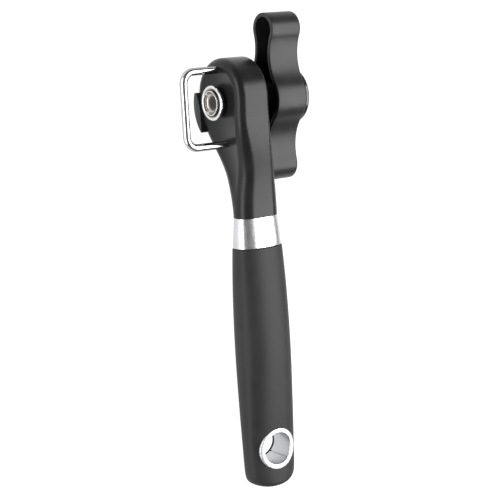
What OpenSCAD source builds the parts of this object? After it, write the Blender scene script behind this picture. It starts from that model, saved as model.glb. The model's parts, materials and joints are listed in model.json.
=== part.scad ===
// Manual can opener with a two-tone handle, a butterfly knob and a wire loop.
// Millimetres. It lies on its side: +X runs down the handle, -Y is the working face with the
// drive wheel and the wire loop, +Y is the knob, +Z is up. The origin is the centre of the
// hanging hole.
//
// Most modules are written in the head's own frame, which the module place() puts in the part:
// x is the distance from the drive axis towards the hanging hole, y is the side that faces up,
// and z is the depth towards the working face, so the drive axis is z.

/* [Overall] */
// Distance from the drive axis to the centre of the hanging hole
drive_to_hole = 156.3; // [150:0.1:165]
// Where the neck ends and the silver collar begins, from the drive axis
neck_end = 51; // [46:0.5:56]
// Where the collar ends and the soft grip begins, from the drive axis
collar_end = 64.5; // [60:0.5:70]
// Where the handle ends, from the drive axis
handle_end = 174.9; // [170:0.1:180]

/* [Head] */
// Radius of the head's round outline
head_r = 16.3; // [15:0.1:18]
// How far the round outline's centre lies beyond the drive axis
head_shift = 2.4; // [0:0.1:4]
// Depth of the working face in front of the handle's centre line
face_z = 16.5; // [14:0.1:18]
// Depth of the head's back face in front of the handle's centre line
back_z = 1.15; // [0:0.05:4]
// Fillet round the working face
face_fillet = 3.75; // [2:0.05:6]
// Fillet round the back face
back_fillet = 1.5; // [0.5:0.1:2]

/* [Handle] */
// Thickness of the soft grip over its core
sleeve_t = 2.2; // [1.5:0.1:2.6]
// How far the collar's surface lies below the grip's
collar_drop = 0.25; // [0:0.05:0.5]
// Radius of the hanging hole
hole_r = 6.95; // [6:0.05:8]
// Radius of the flange round the hanging hole
flange_r = 9.4; // [9:0.1:11]

/* [Drive] */
// Radius of the drive shaft's journals
shaft_r = 3.5; // [3:0.1:4]
// Radial clearance of every running fit
run_fit = 0.05; // [0.02:0.01:0.1]
// Number of teeth round the drive wheel
gear_teeth = 36; // [24:1:48]
// Radius over the drive wheel's teeth
gear_r = 6.6; // [6.2:0.1:7.2]
// Radius of the cutting disc
disc_r = 7.5; // [7:0.1:9]

/* [Knob] */
// Distance from the drive axis to the centre of each end lobe
lobe_reach = 29.85; // [26:0.05:32]
// Radius of the end lobes
lobe_r = 7.1; // [6:0.1:9]
// Radius of the middle lobe
middle_r = 12.6; // [11:0.1:14]
// Half the width of the waist between two lobes
waist = 5.4; // [5:0.05:6.5]
// Wall of the knob
knob_wall = 1.8; // [1.4:0.1:2.2]
// Turn of the knob at rest
knob_turn = -6.5; // [-90:0.1:90]

/* [Wire loop] */
// Diameter of the wire
wire_d = 3.2; // [2.8:0.1:3.6]
// Depth of the loop's outer run
loop_z = 33.3; // [30:0.1:36]
// Radius of the loop's corners, on the wire's centre line
loop_corner = 5; // [4:0.1:7]

/* [Hidden] */
$fn = 64;

// Small overlap that keeps cuts clean, and the play of fixed parts in their seats
eps = 0.02;
seat = 0.03;

// Head and neck
neck_front = 10.45;
neck_back = -10.35;
neck_half = 6.3;
face_drop_start = 3.5;
face_drop_end = 34.7;
back_drop_start = -0.8;
neck_fillet = 6.25;
front_round_start = -4.2;
back_round_start = 4.1;
top_steps = 14;
neck_steps = 30;
fillet_steps = 6;

// Handle section: half depth, half thickness and roundness at stations down the handle
roundness = 2.3;
stations = [[51, 10.8, 6.5], [64.5, 11.9, 7.7], [85, 12.8, 9], [110, 13.2, 9.5],
    [135, 13.2, 8.5], [156, 12.95, 7.4], [176, 12.3, 7.6]];
// The end is an arc of this radius, met by the sides in a small corner, and thins at its edge
end_arc = 21.5;
end_corner = 7.7;
end_tip = 0.15;
end_thin = 3;
end_thin_power = 2.3;
end_length = 9;
end_rings = 9;
section_points = 40;
crown_r = 34;
crown_top = 8;
flange_floor = -0.8;
lip_t = 1.3;
lining_t = 1.25;
flange_reach = 16;
half_size = 20;

// Depths of the parts on the drive axis
cavity_r = 10.3;
cavity_z = 12;
cover_r = 13.2;
cover_t = 2;
screw_angles = [90, 210, 330];
screw_reach = 11.7;
cover_screw_r = 0.88;
cover_screw_end = 8.5;
cover_screw_head = [1.3, 1];
clip_z = back_z + cover_t + 3;
clip_t = 0.7;
clip_band = 1.6;
clip_gap = 2.4;
bushing_r = 5;
bushing_flange_r = 5.9;
bushing_flange_t = 0.8;
bushing_rise = 0.3;
washer_r = 5.5;
washer_t = 0.6;
gear_t = 1.1;
tooth_depth = 0.45;
gear_z = face_z + bushing_rise + washer_t;
disc_z = gear_z + gear_t + 0.3;
disc_web = 0.5;
disc_height = 1.1;
disc_rim = 1.3;
cup_r = 5;
cup_wall = 0.6;
cup_floor = gear_z + gear_t;
cup_top = 20.6;
cup_stem_r = 1.8;
square_side = 5;

// Depths of the knob
knob_front = -6.8;
knob_rear = -22.4;
hub_r = 6.6;
hub_front = 0.45;
cap_r = 12;
cap_t = 1.9;
sweep_gap = 0.4;
knob_edge = 0.95;
rib_t = 1.2;
rib_height = 9;
insert_r = 4.6;
insert_start = knob_rear + 7;
screw_r = 1.5;
screw_head_r = 2.8;
screw_length = 12;
cap_boss_r = 9.4;
cap_boss_t = 0.7;

// Wire loop
leg_top = -13.9;
leg_low = 18.2;
leg_top_root = 7;
leg_low_root = 3;

// Guide beside the working face
guide_start = -4;
guide_end = 13.2;
guide_knee = 2;
guide_rise = 1.6;
guide_depth = 3.6;
guide_centre = [1.8, 0.8];
guide_r = 17.2;
guide_inner = [-13.7, -11.9, -11.7];

// Tenon of the handle's core in the neck
tenon_start = 30;
tenon_depth = 7;
tenon_width = 5.2;
pin_r = 1.1;
pin_places = [36, 44];

module place() translate([-drive_to_hole, 0, 0]) rotate([90, 0, 0]) children();

function smooth(t) = let (u = min(max(t, 0), 1)) u * u * (3 - 2 * u);
function mix(a, b, t) = a + (b - a) * t;

// A closed surface through rings of points, each ring with the same number of points
module loft(rings) {
    n = len(rings[0]);
    m = len(rings);
    sides = [for (i = [0 : m - 2]) for (j = [0 : n - 1])
        [i * n + j, i * n + (j + 1) % n, (i + 1) * n + (j + 1) % n, (i + 1) * n + j]];
    start = [[for (j = [n - 1 : -1 : 0]) j]];
    end = [[for (j = [0 : n - 1]) (m - 1) * n + j]];
    polyhedron([for (ring = rings) for (p = ring) p], concat(sides, start, end));
}

// Outline, depths and fillets of the head along x, each easing from one value to another
function ease(x, from, to) = smooth((x - from) / (to - from));
function head_front(x) = mix(face_z, neck_front, ease(x, face_drop_start, face_drop_end));
function head_back(x) = mix(back_z, neck_back, ease(x, back_drop_start, neck_end));
function head_half(x) = mix(head_r, neck_half, ease(x, -head_shift, neck_end));
function front_round(x) = mix(face_fillet, neck_fillet, ease(x, front_round_start, neck_end));
function back_round(x) = mix(back_fillet, neck_fillet, ease(x, back_round_start, neck_end));

// Width left at x once an edge is drawn in by an inset
function half_at(x, inset) = x < -head_shift
    ? sqrt(max(0, pow(head_r - inset, 2) - pow(x + head_shift, 2)))
    : head_half(x) - inset;

// Largest angle that a fillet of radius r reaches at x, less than 90 near the rounded end
function fillet_reach(x, r) = x < -head_shift
    ? acos(max(0, 1 - (head_r + head_shift + x) / r))
    : 90;

// One side of the head's section at x, from the working face to the back face
function head_side(x) = let (rf = front_round(x), rb = back_round(x),
        tf = fillet_reach(x, rf), tb = fillet_reach(x, rb))
    concat(
        [for (k = [fillet_steps : -1 : 0]) let (t = tf * k / fillet_steps)
            [half_at(x, rf * (1 - cos(t))), head_front(x) - rf + rf * sin(t)]],
        [for (k = [0 : fillet_steps]) let (t = tb * k / fillet_steps)
            [half_at(x, rb * (1 - cos(t))), head_back(x) + rb - rb * sin(t)]]);

function head_ring(x) = let (side = head_side(x), n = len(side))
    concat([for (p = side) [x, p[0], p[1]]],
        [for (i = [n - 1 : -1 : 0]) [x, -side[i][0], side[i][1]]]);

head_stations = concat(
    [for (k = [0 : top_steps - 1]) -head_shift - head_r * sin(88 * (1 - k / top_steps))],
    [for (k = [0 : neck_steps]) mix(-head_shift, neck_end, k / neck_steps)]);

module head_form() loft([for (x = head_stations) head_ring(x)]);

// Handle section at x, grown by an amount on every side
function tangent(i, c) = i == 0 ? slope(0, 1, c)
    : i == len(stations) - 1 ? slope(i - 1, i, c)
    : slope(i - 1, i + 1, c);
function slope(i, j, c) = (stations[j][c] - stations[i][c]) / (stations[j][0] - stations[i][0]);
function station_before(x, i = 0) = i >= len(stations) - 2 || x < stations[i + 1][0]
    ? i : station_before(x, i + 1);
function along(x, c) = let (i = station_before(x), a = stations[i], b = stations[i + 1],
        h = b[0] - a[0], t = (x - a[0]) / h, u = 1 - t)
    a[c] * u * u * (1 + 2 * t) + b[c] * t * t * (3 - 2 * t)
    + h * t * u * (tangent(i, c) * u - tangent(i + 1, c) * t);

// Half depth near the end: a smooth minimum of the side and the end's arc
function end_depth(q, side) = let (u = max(q, end_tip))
    u >= end_arc ? side : pow(pow(side, -end_corner) + pow(arc_half(u), -end_corner), -1 / end_corner);
function arc_half(u) = sqrt(pow(end_arc, 2) - pow(end_arc - u, 2));
// Factor that thins the end at a distance q from its tip
function end_factor(q) = let (u = max(q, end_tip))
    u >= end_thin ? 1 : pow(1 - pow(1 - u / end_thin, end_thin_power), 1 / end_thin_power);

function power(v, p) = sign(v) * pow(abs(v), p);
function handle_ring(x, grow, end) = let (
        a = end_depth(end - x, along(x, 1) + grow),
        b = (along(x, 2) + grow) * end_factor(end - x))
    [for (k = [0 : section_points - 1]) let (t = 360 * k / section_points)
        [x, b * power(cos(t), 2 / roundness), -a * power(sin(t), 2 / roundness)]];

module handle_form(from, to, grow, steps) {
    shoulder = to - end_length;
    rounded = [for (k = [1 : end_rings]) mix(shoulder, to, sin(90 * k / end_rings))];
    loft([for (x = concat([for (k = [0 : steps]) mix(from, shoulder, k / steps)], rounded))
        handle_ring(x, grow, to)]);
}

// A length of the handle section with both ends square
module handle_slice(from, to, grow, steps) {
    loft([for (k = [0 : steps]) handle_ring(mix(from, to, k / steps), grow, handle_end)]);
}

module rod(r, from, to) translate([0, 0, from]) cylinder(r = r, h = to - from);
module across(x, r) translate([x, 0, 0]) rotate([90, 0, 0]) cylinder(r = r, h = 60, center = true);

// Radius of the cove that touches the middle lobe and an end lobe and leaves the waist's width
cove_p = (pow(lobe_reach, 2) + pow(middle_r, 2) - pow(lobe_r, 2)) / (2 * lobe_reach);
cove_q = (middle_r - lobe_r) / lobe_reach;
cove_k = middle_r - waist - cove_p * cove_q;
cove_c = pow(cove_p, 2) + pow(waist, 2) - pow(middle_r, 2);
cove_r = (cove_k - sqrt(pow(cove_k, 2) - pow(cove_q, 2) * cove_c)) / pow(cove_q, 2);

// Three-lobed outline of the knob, drawn in by an inset on every side
module knob_outline(inset = 0) {
    cove_y = cove_r + waist;
    cove_x = sqrt(pow(cove_r + middle_r, 2) - pow(cove_y, 2));
    near = [cove_x, cove_y] * middle_r / (cove_r + middle_r);
    far = [lobe_reach, 0] + [cove_x - lobe_reach, cove_y] * lobe_r / (cove_r + lobe_r);
    circle(r = middle_r - inset, $fn = 96);
    for (m = [0, 1]) mirror([m, 0]) {
        translate([lobe_reach, 0]) circle(r = lobe_r - inset);
        difference() {
            polygon([[0, 0], near, far, [lobe_reach, 0], [far[0], -far[1]], [near[0], -near[1]]]);
            for (s = [-1, 1]) translate([cove_x, s * cove_y]) circle(r = cove_r + inset, $fn = 128);
        }
    }
}

module knob_place() place() rotate([0, 0, knob_turn]) children();

module screw_places() for (t = screw_angles) rotate([0, 0, t]) translate([screw_reach, 0, 0]) children();

module head_shell() color([0.12, 0.12, 0.13]) place() difference() {
    head_form();
    rod(bushing_r + seat, cavity_z - 1, face_z + 1);
    rod(bushing_flange_r + seat, face_z - bushing_flange_t, face_z + 1);
    rod(cavity_r, back_z + cover_t, cavity_z);
    rod(cover_r + seat, neck_back, back_z + cover_t);
    screw_places() rod(cover_screw_r + eps, back_z, cover_screw_end + 0.5);
    translate([leg_top, 0, 0]) rod(wire_d / 2 + seat, leg_top_root, face_z + 1);
    translate([leg_low, 0, 0]) rod(wire_d / 2 + seat, leg_low_root, face_z + 1);
    translate([tenon_start, -tenon_width / 2 - seat, -tenon_depth / 2 - seat])
        cube([neck_end - tenon_start + 1, tenon_width + 2 * seat, tenon_depth + 2 * seat]);
    for (x = pin_places) across(x, pin_r + seat);
    guide_block(seat);
    // Relief that the knob's lobes sweep through
    rod(lobe_reach + lobe_r + sweep_gap, neck_back - 1, knob_front + sweep_gap);
}

module rear_cover() color([0.1, 0.1, 0.11]) place() difference() {
    rod(cover_r, back_z, back_z + cover_t);
    rod(bushing_r + seat, back_z - 1, back_z + cover_t + 1);
    screw_places() rod(cover_screw_r + 0.12, back_z - 1, back_z + cover_t + 1);
}

module cover_screws() color([0.7, 0.7, 0.72]) place() screw_places() {
    rod(cover_screw_r, back_z - 0.5, cover_screw_end);
    difference() {
        rod(cover_screw_head[0], back_z - cover_screw_head[1], back_z);
        slot(2 * cover_screw_head[0] + 0.4, 0.4, back_z - cover_screw_head[1] - 0.1, 0.5);
    }
}

module front_bushing() color([0.1, 0.1, 0.11]) place() difference() {
    union() {
        rod(bushing_r, cavity_z - 1.5, face_z);
        rod(bushing_flange_r, face_z - bushing_flange_t + eps, face_z + bushing_rise);
    }
    rod(shaft_r + run_fit, cavity_z - 3, face_z + 1);
}

module rear_bushing() color([0.1, 0.1, 0.11]) place() difference() {
    rod(bushing_r, back_z, back_z + cover_t + 2);
    rod(shaft_r + run_fit, back_z - 1, back_z + cover_t + 3);
}

// A straight slot across the axis, as in a screw's head
module slot(length, width, from, depth) translate([-length / 2, -width / 2, from])
    cube([length, width, depth]);

// The shaft's square ends carry the drive wheel and the knob's insert
module square_bar(side, from, to) translate([-side / 2, -side / 2, from]) cube([side, side, to - from]);

module drive_shaft() color([0.6, 0.61, 0.63]) knob_place() difference() {
    union() {
        rod(shaft_r, hub_front, gear_z);
        square_bar(square_side, gear_z, cup_floor);
        square_bar(square_side, insert_start, hub_front);
    }
    rod(cup_stem_r + eps, cup_floor - 6, cup_floor + 1);
    rod(screw_r + eps, knob_rear, knob_rear + screw_length + 3);
    clip_groove();
}

module clip_groove() difference() {
    rod(shaft_r + 1, clip_z - clip_t / 2 - 0.05, clip_z + clip_t / 2 + 0.05);
    rod(shaft_r - 0.5, clip_z - 1, clip_z + 1);
}

module retaining_clip() color([0.35, 0.36, 0.38]) knob_place() difference() {
    rod(shaft_r + clip_band, clip_z - clip_t / 2, clip_z + clip_t / 2);
    rod(shaft_r - 0.5 + eps, clip_z - 1, clip_z + 1);
    translate([-clip_gap / 2, 0, clip_z - 1]) cube([clip_gap, 2 * shaft_r, 2]);
}

module thrust_washer() color([0.62, 0.63, 0.65]) place() difference() {
    rod(washer_r, face_z + bushing_rise, gear_z - 0.1);
    rod(shaft_r + run_fit + eps, face_z - 1, gear_z + 1);
}

module drive_gear() color([0.5, 0.51, 0.53]) knob_place() difference() {
    translate([0, 0, gear_z]) linear_extrude(gear_t) polygon([for (k = [0 : gear_teeth * 2 - 1])
        let (r = gear_r - tooth_depth * (k % 2), t = 180 * k / gear_teeth)
        [r * cos(t), r * sin(t)]]);
    square_bar(square_side + 2 * eps, gear_z - 1, gear_z + gear_t + 1);
}

module cutter_disc() color([0.82, 0.83, 0.85]) place() difference() {
    rotate_extrude($fn = 96) polygon([[0, disc_z], [disc_r - 0.35, disc_z], [disc_r, disc_z + 0.5],
        [disc_r, disc_z + disc_height - 0.25], [disc_r - 0.3, disc_z + disc_height],
        [disc_r - disc_rim + 0.2, disc_z + disc_height], [disc_r - disc_rim, disc_z + disc_height - 0.2],
        [disc_r - disc_rim, disc_z + disc_web], [0, disc_z + disc_web]]);
    rod(cup_r + run_fit, disc_z - 1, disc_z + 3);
}

// Tubular rivet head: a cup pressed into the shaft, on whose tube the cutting disc turns
module axle_cup() color([0.75, 0.74, 0.72]) knob_place() {
    rod(cup_stem_r, cup_floor - 5, cup_floor);
    rotate_extrude() polygon([[0, cup_floor], [cup_r, cup_floor], [cup_r, disc_z + disc_web + 0.45],
        [cup_r + 0.45, cup_top - 0.35], [cup_r + 0.3, cup_top], [cup_r - cup_wall, cup_top - 0.15],
        [cup_r - cup_wall, cup_floor + 0.35], [0, cup_floor + 0.35]]);
}

module wave_washer() color([0.66, 0.67, 0.69]) knob_place() difference() {
    rod(hub_r - 0.3, hub_front, hub_front + 0.6);
    rod(shaft_r + 0.1, hub_front - 1, hub_front + 2);
}

module knob_slab(inset, from, to) translate([0, 0, from]) linear_extrude(to - from) knob_outline(inset);

// Hollow knob, open towards the head, with a hub and ribs inside
module knob_shell() color([0.13, 0.13, 0.14]) knob_place() difference() {
    union() {
        knob_slab(0, knob_rear + knob_edge, knob_front);
        knob_slab(0.3 * knob_edge, knob_rear + 0.35 * knob_edge, knob_rear + knob_edge);
        knob_slab(knob_edge, knob_rear, knob_rear + 0.35 * knob_edge);
        rod(hub_r, knob_rear + 1, hub_front);
    }
    difference() {
        knob_slab(knob_wall, knob_rear + knob_wall, hub_front + 1);
        rod(hub_r, knob_rear, hub_front);
        for (t = [0 : 90 : 270]) rotate([0, 0, t]) {
            translate([0, -rib_t / 2, knob_rear]) cube([middle_r - 1, rib_t, rib_height]);
        }
    }
    rod(insert_r + eps, insert_start - 1, hub_front - 1.5);
    square_bar(square_side + 2 * seat, insert_start - 1, hub_front + 1);
    rod(screw_r + 0.1, knob_rear - 1, insert_start + 1);
    rod(screw_head_r + 0.3, knob_rear - 1, knob_rear + 2.2);
    rod(cap_boss_r + 0.1, knob_rear - 1, knob_rear + cap_boss_t);
}

module knob_insert() color([0.74, 0.62, 0.36]) knob_place() difference() {
    rod(insert_r, insert_start, hub_front - 1.5 - eps);
    square_bar(square_side + 2 * eps, knob_rear, hub_front + 1);
}

module knob_screw() color([0.7, 0.7, 0.72]) knob_place() difference() {
    union() {
        rod(screw_r, knob_rear + 1, knob_rear + 1 + screw_length);
        rod(screw_head_r, knob_rear + cap_boss_t + eps, knob_rear + 2.15);
    }
    for (t = [0, 90]) rotate([0, 0, t]) slot(3.2, 0.5, knob_rear, 1.6);
}

module knob_cap() color([0.1, 0.1, 0.11]) knob_place() {
    rod(cap_boss_r, knob_rear, knob_rear + cap_boss_t);
    rotate_extrude($fn = 96) polygon([[0, knob_rear], [cap_r, knob_rear], [cap_r, knob_rear - cap_t + 0.8],
        [cap_r - 0.25, knob_rear - cap_t + 0.25], [cap_r - 0.8, knob_rear - cap_t],
        [cap_r - 2, knob_rear - cap_t], [cap_r - 2.6, knob_rear - cap_t + 0.5],
        [0, knob_rear - cap_t + 0.5]]);
}

// Bent wire: two legs in the head, joined by two corners and an outer run
module wire_loop() color([0.8, 0.81, 0.83]) place() {
    straight = loop_z - loop_corner;
    translate([leg_top, 0, 0]) rod(wire_d / 2, leg_top_root, straight);
    translate([leg_low, 0, 0]) rod(wire_d / 2, leg_low_root, straight);
    translate([leg_top + loop_corner, 0, loop_z]) rotate([0, 90, 0])
        cylinder(r = wire_d / 2, h = leg_low - leg_top - 2 * loop_corner);
    translate([leg_low - loop_corner, 0, straight]) rotate([90, 0, 0])
        rotate_extrude(angle = 90) translate([loop_corner, 0]) circle(r = wire_d / 2, $fn = 48);
    translate([leg_top + loop_corner, 0, straight]) rotate([90, 0, 0]) rotate([0, 0, 90])
        rotate_extrude(angle = 90) translate([loop_corner, 0]) circle(r = wire_d / 2, $fn = 48);
}

// Guide beside the drive wheel: an arc outside, and a straight inner side with a knee
module guide_block(grow = 0) translate([0, 0, face_z - guide_depth - grow])
    linear_extrude(guide_depth + guide_rise + 2 * grow) intersection() {
        translate(guide_centre) circle(r = guide_r + grow, $fn = 128);
        polygon([[guide_start - grow, guide_inner[0] + grow], [guide_knee, guide_inner[1] + grow],
            [guide_end + grow, guide_inner[2] + grow], [guide_end + grow, -2 * guide_r],
            [guide_start - grow, -2 * guide_r]]);
    }

module rim_guide() color([0.16, 0.16, 0.17]) place() guide_block();

module handle_core() color([0.2, 0.2, 0.21]) place() difference() {
    union() {
        handle_form(neck_end + eps, handle_end - sleeve_t, -sleeve_t, 10);
        translate([tenon_start, -tenon_width / 2, -tenon_depth / 2])
            cube([neck_end - tenon_start + 1, tenon_width, tenon_depth]);
    }
    across(drive_to_hole, hole_r + lining_t + seat);
    for (x = pin_places) across(x, pin_r + eps);
}

module neck_pins() color([0.66, 0.67, 0.69]) place() {
    for (x = pin_places) translate([x, 0, 0]) rotate([90, 0, 0]) cylinder(r = pin_r, h = 9, center = true);
}

module collar() color([0.8, 0.8, 0.82]) place() difference() {
    handle_slice(neck_end, collar_end, -collar_drop, 6);
    handle_slice(neck_end - 1, collar_end + 1, -sleeve_t + seat, 8);
}

// Space that the insert's flange takes in the grip's surface
module flange_space(r, floor) difference() {
    across(drive_to_hole, r);
    handle_form(drive_to_hole - flange_reach, handle_end + floor, floor, 4);
}

// The handle's upper half, or its lower half
module half_space(up) translate([0, up ? 0 : -half_size, -half_size])
    cube([2 * drive_to_hole, half_size, 2 * half_size]);

// Below the surface by the grip's lip, which laps over the lining's lower end
module under_lip(gap) handle_form(drive_to_hole - flange_reach, handle_end - lip_t + gap, gap - lip_t, 4);

module grip_sleeve() color([0.2, 0.2, 0.22]) place() difference() {
    handle_form(collar_end + eps, handle_end, 0, 20);
    handle_form(collar_end - 1, handle_end - sleeve_t + seat, -sleeve_t + seat, 10);
    across(drive_to_hole, hole_r);
    intersection() {
        across(drive_to_hole, hole_r + lining_t + seat);
        union() {
            half_space(true);
            under_lip(seat);
        }
    }
    intersection() {
        flange_space(flange_r + seat, flange_floor);
        half_space(true);
    }
}

// Everything under the flange's gently crowned top
module under_crown() translate([drive_to_hole - flange_reach, crown_top - crown_r, 0])
    rotate([0, 90, 0]) cylinder(h = 2 * flange_reach, r = crown_r, $fn = 180);

// Upper half of the hanging hole's lining: a tube with a flange that is crowned across the grip
module hole_insert_upper() color([0.78, 0.78, 0.8]) place() difference() {
    intersection() {
        under_crown();
        union() {
            across(drive_to_hole, hole_r + lining_t);
            flange_space(flange_r, flange_floor + seat);
        }
        half_space(true);
    }
    across(drive_to_hole, hole_r);
}

// Lower half of the lining: a plain tube that ends under the grip's lip
module hole_insert_lower() color([0.78, 0.78, 0.8]) place() difference() {
    intersection() {
        under_lip(0);
        across(drive_to_hole, hole_r + lining_t);
        half_space(false);
    }
    across(drive_to_hole, hole_r);
}

head_shell();
rear_cover();
cover_screws();
front_bushing();
rear_bushing();
drive_shaft();
thrust_washer();
drive_gear();
cutter_disc();
axle_cup();
wave_washer();
retaining_clip();
knob_shell();
knob_insert();
knob_screw();
knob_cap();
wire_loop();
rim_guide();
handle_core();
neck_pins();
collar();
grip_sleeve();
hole_insert_upper();
hole_insert_lower();
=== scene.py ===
"""Manual can opener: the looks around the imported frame, in metres.

+X runs down the handle from the hanging hole, -Y is the working face, +Y is the knob, +Z is up.
The head is described in its own frame: h is the distance from the drive axis towards the
handle's end, s is the side that faces up, and d is the depth towards the working face.
"""
import json
import math

import bmesh
import bpy
from mathutils import Matrix, Vector


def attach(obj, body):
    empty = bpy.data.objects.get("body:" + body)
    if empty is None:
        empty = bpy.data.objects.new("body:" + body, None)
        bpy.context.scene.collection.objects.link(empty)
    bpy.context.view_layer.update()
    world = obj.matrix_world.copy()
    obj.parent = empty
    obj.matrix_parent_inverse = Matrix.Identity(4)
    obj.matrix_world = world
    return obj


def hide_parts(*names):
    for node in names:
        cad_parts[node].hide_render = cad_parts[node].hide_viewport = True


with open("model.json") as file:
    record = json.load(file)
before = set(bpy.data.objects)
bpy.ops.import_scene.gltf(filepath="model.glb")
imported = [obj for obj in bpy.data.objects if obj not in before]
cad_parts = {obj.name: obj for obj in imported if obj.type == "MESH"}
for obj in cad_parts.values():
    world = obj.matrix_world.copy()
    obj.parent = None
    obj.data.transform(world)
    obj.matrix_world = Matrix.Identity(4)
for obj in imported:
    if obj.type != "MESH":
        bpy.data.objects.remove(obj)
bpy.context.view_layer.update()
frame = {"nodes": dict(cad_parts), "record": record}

MM = 0.001

# ---------------------------------------------------------------- sizes, in millimetres

DRIVE_TO_HOLE = 156.3
NECK_END = 51.0
COLLAR_END = 64.5
HANDLE_END = 174.9

HEAD_R = 16.3
HEAD_SHIFT = 2.4
FACE_D = 16.5
BACK_D = 1.15
FACE_FILLET = 3.75
BACK_FILLET = 1.5
NECK_FRONT = 10.45
NECK_BACK = -10.35
NECK_HALF = 6.3
NECK_FILLET = 6.25
FACE_DROP = (3.5, 34.7)
BACK_DROP_START = -0.8
FRONT_ROUND_START = -4.2
BACK_ROUND_START = 4.1
PANEL_EDGE = 0.35      # width of the step round the working face's flat
PANEL_DEPTH = 0.16
PANEL_INSET = 0.25     # from the fillet's crest to the step
PANEL_MIN = 1.2        # the step fades in over PANEL_FADE beyond this half width
PANEL_FADE = 1.5
PANEL_NARROW = (0.8, 0.6)  # shares of the half width where a narrower face has its points
CUT_PAST = 2.0         # how far a cutter runs past the neck's back
COVER_R = 13.23
COVER_D = 3.15

ROUNDNESS = 2.3
STATIONS = [(51, 10.8, 6.5), (64.5, 11.9, 7.7), (85, 12.8, 9.0), (110, 13.2, 9.5),
            (135, 13.2, 8.5), (156, 12.95, 7.4), (176, 12.3, 7.6)]
END_ARC = 21.5         # radius of the arc that ends the handle
END_CORNER = 7.7
END_TIP = 0.15
END_THIN = 3.0
END_THIN_POWER = 2.3
END_LENGTH = 9.0
COLLAR_DROP = 0.25
# Section of the collar's edge, as (distance in, drop beyond COLLAR_DROP)
COLLAR_EDGE = [(0.0, 1.6), (0.0, 0.3), (0.1, 0.1), (0.3, 0.0), (1.5, 0.0)]
# Section of the grip's edge at the collar, as (distance in, height)
GRIP_EDGE = [(0.03, -1.2), (0.03, -0.5), (0.1, -0.22), (0.28, -0.05), (0.6, 0.0)]
GRIP_EDGE_END = 1.2
GRIP_T = 2.15
CORE_STARTS = 3.0      # the hollow starts this far before the grip
CORE_STOPS = 4.0       # and stops this far short of the handle's end

BAND_REACH = 7.5       # the radius at which a turned metal's bands end

HOLE_R = 6.95
FLANGE_R = 9.4
CROWN_R = 34.0         # the flange's top is part of a cylinder along the handle
CROWN_TOP = 8.0
# Section of the flange over the wall, and of its outer edge, as (radius, height) steps
FLANGE_MOUTH = [(0.0, -3.2), (0.0, -1.5), (0.0, -0.95), (0.06, -0.6), (0.17, -0.34), (0.34, -0.15),
                (0.56, -0.04), (0.85, 0.0), (1.5, 0.0)]
FLANGE_EDGE = [(-0.5, 0.0), (-0.27, -0.03), (-0.12, -0.11), (-0.03, -0.25), (0.0, -0.42)]
SEAM_ANGLE = 316.0
SEAM_WIDTH = 2.6
SEAM_DEPTH = 0.45
LIP_T = 1.3            # thickness of the grip's lip over the lining's lower end
LINING_R = 8.2
LINING_GAP = 0.05
FLANGE_UNDER = -0.6    # the flange's underside, from the grip's surface
# Section of the lower lining's foot, as (distance past its wall, height)
LINING_FOOT = [(0.0, -4.0), (0.0, -2.5), (0.0, -LIP_T - 0.25), (0.15, -LIP_T - 0.05)]
# Edge of the grip's lower lip, as (distance past the hole's wall, height)
LIP_EDGE = [(1.2, 1.0), (0.5, 0.1), (0.2, -0.03), (0.06, -0.15), (0.0, -0.35), (0.0, -LIP_T)]
TOOL_START = 0.5       # levels over the hole's middle where the tool opens for the flange
TOOL_STEP = 0.6
TOOL_END = 14.0
TOOL_UNDER_FLANGE = 0.5
TOOL_UNDER_LIP = 0.02

GEAR_D = (17.4, 18.5)
GEAR_R = 6.6
GEAR_TEETH = 36
TOOTH_DEPTH = 0.45
TOOTH_STEPS = 10
TOOTH_FLANK = 5        # steepness of the tooth's sides
GEAR_BORE = 3.6
GEAR_EDGE = 0.12
DISC_D = 18.8
DISC_R = 7.5
DISC_RIM = 1.3
DISC_HEIGHT = 1.1
DISC_WEB = 0.45
DISC_GAP = 0.06
DISC_CORNERS = [0.05, 0.2, 0.45, 0.4, 0.1, 0.05]
CUP_R = 5.0
CUP_WALL = 0.6
CUP_FLOOR = 18.5
CUP_TOP = 20.6
BOWL_R = 1.9           # how far the cup's rounded floor reaches in from its wall
BOWL_SINK = 0.75       # the rounded floor rises this much less than BOWL_R
CUP_BASE = 0.4         # thickness of the cup's floor
CUP_DIMPLE = 0.3       # thickness at its dimple
CUP_LIFT = 0.02
CUP_DIMPLE_R = (1.5, 1.1)
# Section of the cup's lip, as (radius past CUP_R, depth below CUP_TOP)
CUP_LIP = [(0.0, 1.0), (0.35, 0.25), (0.2, 0.0), (-0.08, 0.0)]
CUP_LIP_INNER = (0.12, 0.7)
CUP_CORNERS = [0, 0.1, 0.2, 0.1, 0.12, 0.12, 0.3]

KNOB_FRONT = -6.8
KNOB_REAR = -22.4
KNOB_TURN = -6.5
KNOB_WALL = 1.8
LOBE_REACH = 29.85
LOBE_R = 7.1
MIDDLE_R = 12.6
WAIST = 5.4
KNOB_RIM = 0.35
KNOB_EDGE = 0.95
KNOB_ROOT = 0.8
KNOB_ROOT_GAP = 0.1
SWEEP_GAP = 0.4
HUB_R = 6.6
HUB_FRONT = 0.45
HUB_FLARE = 0.8
HUB_FLARE_LENGTH = 6.0
HUB_BORE = 3.6
HUB_BORE_DEPTH = 1.5
HUB_START = 1.0        # the hub and the ribs start this far inside the knob's rear face
HUB_CORNERS = [0, 0.3, 0.6, 0.4, 0.2, 0.1, 0]
RIB_HALF = 0.6
RIB_REACH = 11.4
RIB_LENGTH = 9.0
RIB_BEVEL = 0.2
CAP_R = 12.0
CAP_T = 1.9
CAP_LAP = 0.02
CAP_BORDER = 1.7       # width of the cap's flat border
CAP_SLOPE = 0.6        # width of the step inside it
CAP_DISH = 0.5
CAP_MIDDLE = 0.35
CAP_CORNERS = [0, 0.1, 0.9, 0.4, 0.4, 0]

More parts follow.
